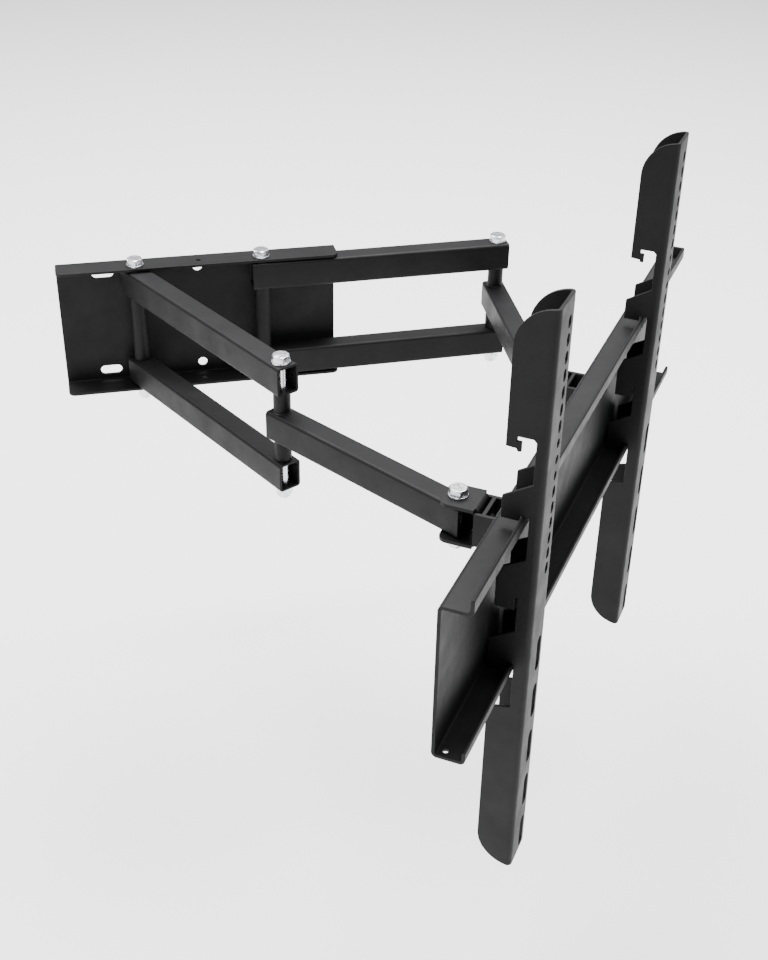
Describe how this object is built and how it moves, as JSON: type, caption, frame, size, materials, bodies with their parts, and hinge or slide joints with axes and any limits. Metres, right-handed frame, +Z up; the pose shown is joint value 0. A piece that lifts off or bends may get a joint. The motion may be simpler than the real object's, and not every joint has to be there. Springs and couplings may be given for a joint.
{
  "type": "full motion TV wall mount",
  "caption": "Full motion wall mount: wall plate, two jointed double-tube arms, and a channel rail with two hook-on slotted brackets for a flat screen.",
  "frame": {"origin": "centre of the wall plate's back face, on the wall", "axes": "+X right along the wall, -Y out of the wall towards the viewer, +Z up"},
  "size_m": [0.555, 0.5592, 0.458],
  "materials": {
    "black_steel": "satin powder coat",
    "zinc_hardware": "bright zinc",
    "black_nylon": "matt"
  },
  "bodies": {
    "wall": {"wall_plate": "black_steel", "shoulder_bolts": "zinc_hardware", "shoulder_nuts": "zinc_hardware", "shoulder_washers": "zinc_hardware"},
    "left_arm": {"left_upper_tube": "black_steel", "left_lower_tube": "black_steel", "left_shoulder_post": "black_steel", "left_shoulder_bushes": "black_nylon", "left_elbow_bolt": "zinc_hardware", "left_elbow_nut": "zinc_hardware", "left_elbow_washers": "zinc_hardware", "left_elbow_spacers": "black_steel"},
    "left_forearm": {"left_forearm_tube": "black_steel", "left_elbow_bushes": "black_nylon", "left_wrist_bushes": "black_nylon"},
    "right_arm": {"right_upper_tube": "black_steel", "right_lower_tube": "black_steel", "right_shoulder_post": "black_steel", "right_shoulder_bushes": "black_nylon", "right_elbow_bolt": "zinc_hardware", "right_elbow_nut": "zinc_hardware", "right_elbow_washers": "zinc_hardware", "right_elbow_spacers": "black_steel"},
    "right_forearm": {"right_forearm_tube": "black_steel", "right_elbow_bushes": "black_nylon"},
    "rail": {"rail": "black_steel", "left_wrist_clevis": "black_steel", "right_wrist_clevis": "black_steel", "left_rail_standoff": "black_steel", "right_rail_standoff": "black_steel", "left_standoff_rivet": "black_steel", "right_standoff_rivet": "black_steel", "left_standoff_washer": "black_steel", "right_standoff_washer": "black_steel", "wrist_bolts": "zinc_hardware", "wrist_nuts": "zinc_hardware", "wrist_washers": "zinc_hardware", "right_wrist_spacers": "black_nylon"},
    "left_bracket": {"left_tv_bracket": "black_steel"},
    "right_bracket": {"right_tv_bracket": "black_steel"}
  },
  "joints": [
    {"name": "left_shoulder", "type": "hinge", "parent": "wall", "child": "left_arm", "pos_m": [-0.056, -0.01695, 0], "axis": [0, 0, 1], "range_deg": [-101.73, 0]},
    {"name": "left_elbow", "type": "hinge", "parent": "left_arm", "child": "left_forearm", "pos_m": [0.04201, -0.21615, 0], "axis": [0, 0, 1], "range_deg": [0, 96.26]},
    {"name": "left_wrist", "type": "hinge", "parent": "left_forearm", "child": "rail", "pos_m": [0.1453, -0.36842, 0], "axis": [0, 0, 1], "range_deg": [-104.32, 0]},
    {"name": "right_shoulder", "type": "hinge", "parent": "wall", "child": "right_arm", "pos_m": [0.056, -0.01695, 0], "axis": [0, 0, 1], "range_deg": [-107.93, 0]},
    {"name": "right_elbow", "type": "hinge", "parent": "right_arm", "child": "right_forearm", "pos_m": [0.27798, -0.01385, 0], "axis": [0, 0, 1], "range_deg": [0, 95.11]},
    {"name": "left_bracket_slide", "type": "slide", "parent": "rail", "child": "left_bracket", "axis": [0.575, 0.8181, 0], "range_m": [-0.094, 0.155]},
    {"name": "right_bracket_slide", "type": "slide", "parent": "rail", "child": "right_bracket", "axis": [0.575, 0.8181, 0], "range_m": [-0.124, 0.12]}
  ],
  "couplings": [
    {"joint": "left_elbow", "follows": "left_shoulder", "ratio": -0.94616},
    {"joint": "left_wrist", "follows": "left_shoulder", "ratio": 1.0254},
    {"joint": "right_shoulder", "follows": "left_shoulder", "ratio": 1.0609},
    {"joint": "right_elbow", "follows": "left_shoulder", "ratio": -0.93491}
  ]
}
